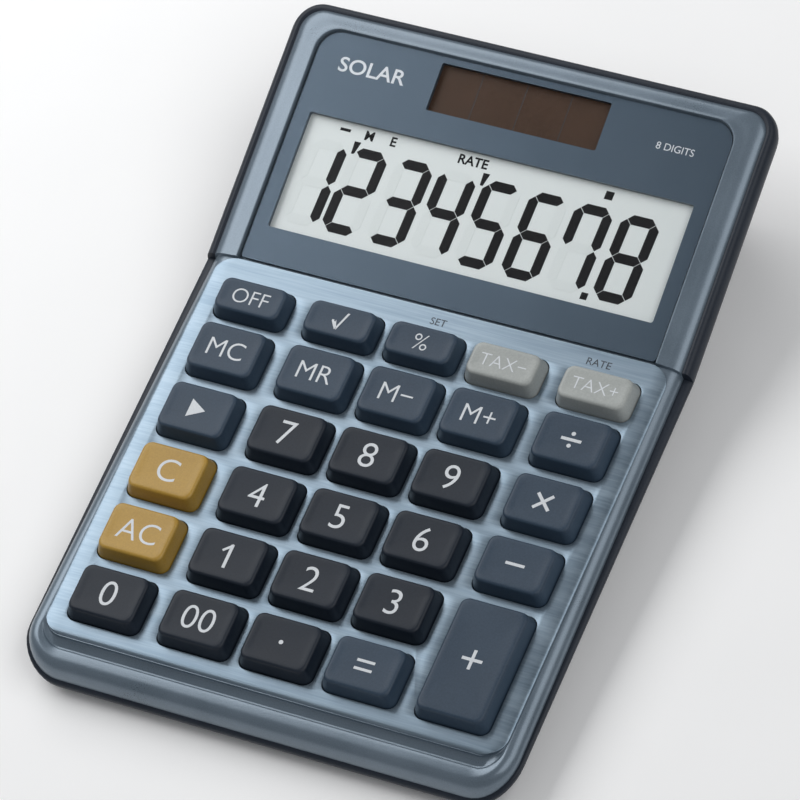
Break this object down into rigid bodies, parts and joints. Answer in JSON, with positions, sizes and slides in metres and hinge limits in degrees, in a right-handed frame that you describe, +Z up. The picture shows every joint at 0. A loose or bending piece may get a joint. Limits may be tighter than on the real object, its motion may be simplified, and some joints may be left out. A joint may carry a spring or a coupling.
{
  "type": "pocket calculator",
  "caption": "Solar pocket calculator with a raised tilted display above a sloping keypad of sprung keys, one of them double height.",
  "frame": {"origin": "centre of the footprint, on the surface that the feet stand on", "axes": "+X to the user's right, +Y from the keypad towards the display, +Z up"},
  "size_m": [0.1036, 0.147, 0.0288],
  "materials": {
    "case_paint": "satin metallic slate paint on moulded plastic",
    "case_dark": "fine textured dark navy plastic",
    "face_plate": "brushed sideways, pale blue anodised",
    "window": "polished smoked acrylic, printed behind",
    "silicone": "matt translucent grey",
    "board": "satin solder mask",
    "epoxy": "glossy black drop",
    "capacitor": "sleeved can",
    "cell_steel": "plain nickel plate",
    "spring_steel": "bright nickel plate",
    "lcd_glass": "polished",
    "reflector": "pale grey-green diffuse film",
    "holder": "white satin",
    "ribbon": "amber film",
    "solar_cell": "dark brown amorphous cell on glass",
    "wire": "red insulation",
    "screw_steel": "zinc plate",
    "foot_rubber": "matt black",
    "key_function": "satin slate blue",
    "key_number": "satin charcoal",
    "key_yellow": "satin golden yellow",
    "key_light": "satin light grey"
  },
  "bodies": {
    "case": {"top_case": "case_paint", "face_plate": "face_plate", "display_window": "window", "bottom_case": "case_dark", "rubber_keypad": "silicone", "main_board": "board", "chip_cover": "epoxy", "capacitor": "capacitor", "battery": "cell_steel", "battery_clip": "spring_steel", "lcd_glass": "lcd_glass", "lcd_reflector": "reflector", "lcd_holder": "holder", "lcd_ribbon": "ribbon", "solar_cell": "solar_cell", "solar_leads": "wire", "case_screws": "screw_steel", "rubber_feet": "foot_rubber"},
    "key_off": {"key_off": "key_function"},
    "key_root": {"key_root": "key_function"},
    "key_percent": {"key_percent": "key_function"},
    "key_mc": {"key_mc": "key_function"},
    "key_mr": {"key_mr": "key_function"},
    "key_m_minus": {"key_m_minus": "key_function"},
    "key_m_plus": {"key_m_plus": "key_function"},
    "key_divide": {"key_divide": "key_function"},
    "key_shift": {"key_shift": "key_function"},
    "key_multiply": {"key_multiply": "key_function"},
    "key_minus": {"key_minus": "key_function"},
    "key_plus": {"key_plus": "key_function"},
    "key_equals": {"key_equals": "key_function"},
    "key_7": {"key_7": "key_number"},
    "key_8": {"key_8": "key_number"},
    "key_9": {"key_9": "key_number"},
    "key_4": {"key_4": "key_number"},
    "key_5": {"key_5": "key_number"},
    "key_6": {"key_6": "key_number"},
    "key_1": {"key_1": "key_number"},
    "key_2": {"key_2": "key_number"},
    "key_3": {"key_3": "key_number"},
    "key_0": {"key_0": "key_number"},
    "key_00": {"key_00": "key_number"},
    "key_point": {"key_point": "key_number"},
    "key_c": {"key_c": "key_yellow"},
    "key_ac": {"key_ac": "key_yellow"},
    "key_tax_minus": {"key_tax_minus": "key_light"},
    "key_tax_plus": {"key_tax_plus": "key_light"}
  },
  "joints": [
    {"name": "key_off_press", "type": "slide", "parent": "case", "child": "key_off", "axis": [0, 0.0537, -0.9986], "range_m": [0, 0.0012], "stiffness_N_per_m": 600, "deforming": ["rubber_keypad"]},
    {"name": "key_root_press", "type": "slide", "parent": "case", "child": "key_root", "axis": [0, 0.0537, -0.9986], "range_m": [0, 0.0012], "stiffness_N_per_m": 600, "deforming": ["rubber_keypad"]},
    {"name": "key_percent_press", "type": "slide", "parent": "case", "child": "key_percent", "axis": [0, 0.0537, -0.9986], "range_m": [0, 0.0012], "stiffness_N_per_m": 600, "deforming": ["rubber_keypad"]},
    {"name": "key_mc_press", "type": "slide", "parent": "case", "child": "key_mc", "axis": [0, 0.0537, -0.9986], "range_m": [0, 0.0012], "stiffness_N_per_m": 600, "deforming": ["rubber_keypad"]},
    {"name": "key_mr_press", "type": "slide", "parent": "case", "child": "key_mr", "axis": [0, 0.0537, -0.9986], "range_m": [0, 0.0012], "stiffness_N_per_m": 600, "deforming": ["rubber_keypad"]},
    {"name": "key_m_minus_press", "type": "slide", "parent": "case", "child": "key_m_minus", "axis": [0, 0.0537, -0.9986], "range_m": [0, 0.0012], "stiffness_N_per_m": 600, "deforming": ["rubber_keypad"]},
    {"name": "key_m_plus_press", "type": "slide", "parent": "case", "child": "key_m_plus", "axis": [0, 0.0537, -0.9986], "range_m": [0, 0.0012], "stiffness_N_per_m": 600, "deforming": ["rubber_keypad"]},
    {"name": "key_divide_press", "type": "slide", "parent": "case", "child": "key_divide", "axis": [0, 0.0537, -0.9986], "range_m": [0, 0.0012], "stiffness_N_per_m": 600, "deforming": ["rubber_keypad"]},
    {"name": "key_shift_press", "type": "slide", "parent": "case", "child": "key_shift", "axis": [0, 0.0537, -0.9986], "range_m": [0, 0.0012], "stiffness_N_per_m": 600, "deforming": ["rubber_keypad"]},
    {"name": "key_multiply_press", "type": "slide", "parent": "case", "child": "key_multiply", "axis": [0, 0.0537, -0.9986], "range_m": [0, 0.0012], "stiffness_N_per_m": 600, "deforming": ["rubber_keypad"]},
    {"name": "key_minus_press", "type": "slide", "parent": "case", "child": "key_minus", "axis": [0, 0.0537, -0.9986], "range_m": [0, 0.0012], "stiffness_N_per_m": 600, "deforming": ["rubber_keypad"]},
    {"name": "key_plus_press", "type": "slide", "parent": "case", "child": "key_plus", "axis": [0, 0.0537, -0.9986], "range_m": [0, 0.0012], "stiffness_N_per_m": 600, "deforming": ["rubber_keypad"]},
    {"name": "key_equals_press", "type": "slide", "parent": "case", "child": "key_equals", "axis": [0, 0.0537, -0.9986], "range_m": [0, 0.0012], "stiffness_N_per_m": 600, "deforming": ["rubber_keypad"]},
    {"name": "key_7_press", "type": "slide", "parent": "case", "child": "key_7", "axis": [0, 0.0537, -0.9986], "range_m": [0, 0.0012], "stiffness_N_per_m": 600, "deforming": ["rubber_keypad"]},
    {"name": "key_8_press", "type": "slide", "parent": "case", "child": "key_8", "axis": [0, 0.0537, -0.9986], "range_m": [0, 0.0012], "stiffness_N_per_m": 600, "deforming": ["rubber_keypad"]},
    {"name": "key_9_press", "type": "slide", "parent": "case", "child": "key_9", "axis": [0, 0.0537, -0.9986], "range_m": [0, 0.0012], "stiffness_N_per_m": 600, "deforming": ["rubber_keypad"]},
    {"name": "key_4_press", "type": "slide", "parent": "case", "child": "key_4", "axis": [0, 0.0537, -0.9986], "range_m": [0, 0.0012], "stiffness_N_per_m": 600, "deforming": ["rubber_keypad"]},
    {"name": "key_5_press", "type": "slide", "parent": "case", "child": "key_5", "axis": [0, 0.0537, -0.9986], "range_m": [0, 0.0012], "stiffness_N_per_m": 600, "deforming": ["rubber_keypad"]},
    {"name": "key_6_press", "type": "slide", "parent": "case", "child": "key_6", "axis": [0, 0.0537, -0.9986], "range_m": [0, 0.0012], "stiffness_N_per_m": 600, "deforming": ["rubber_keypad"]},
    {"name": "key_1_press", "type": "slide", "parent": "case", "child": "key_1", "axis": [0, 0.0537, -0.9986], "range_m": [0, 0.0012], "stiffness_N_per_m": 600, "deforming": ["rubber_keypad"]},
    {"name": "key_2_press", "type": "slide", "parent": "case", "child": "key_2", "axis": [0, 0.0537, -0.9986], "range_m": [0, 0.0012], "stiffness_N_per_m": 600, "deforming": ["rubber_keypad"]},
    {"name": "key_3_press", "type": "slide", "parent": "case", "child": "key_3", "axis": [0, 0.0537, -0.9986], "range_m": [0, 0.0012], "stiffness_N_per_m": 600, "deforming": ["rubber_keypad"]},
    {"name": "key_0_press", "type": "slide", "parent": "case", "child": "key_0", "axis": [0, 0.0537, -0.9986], "range_m": [0, 0.0012], "stiffness_N_per_m": 600, "deforming": ["rubber_keypad"]},
    {"name": "key_00_press", "type": "slide", "parent": "case", "child": "key_00", "axis": [0, 0.0537, -0.9986], "range_m": [0, 0.0012], "stiffness_N_per_m": 600, "deforming": ["rubber_keypad"]},
    {"name": "key_point_press", "type": "slide", "parent": "case", "child": "key_point", "axis": [0, 0.0537, -0.9986], "range_m": [0, 0.0012], "stiffness_N_per_m": 600, "deforming": ["rubber_keypad"]},
    {"name": "key_c_press", "type": "slide", "parent": "case", "child": "key_c", "axis": [0, 0.0537, -0.9986], "range_m": [0, 0.0012], "stiffness_N_per_m": 600, "deforming": ["rubber_keypad"]},
    {"name": "key_ac_press", "type": "slide", "parent": "case", "child": "key_ac", "axis": [0, 0.0537, -0.9986], "range_m": [0, 0.0012], "stiffness_N_per_m": 600, "deforming": ["rubber_keypad"]},
    {"name": "key_tax_minus_press", "type": "slide", "parent": "case", "child": "key_tax_minus", "axis": [0, 0.0537, -0.9986], "range_m": [0, 0.0012], "stiffness_N_per_m": 600, "deforming": ["rubber_keypad"]},
    {"name": "key_tax_plus_press", "type": "slide", "parent": "case", "child": "key_tax_plus", "axis": [0, 0.0537, -0.9986], "range_m": [0, 0.0012], "stiffness_N_per_m": 600, "deforming": ["rubber_keypad"]}
  ]
}
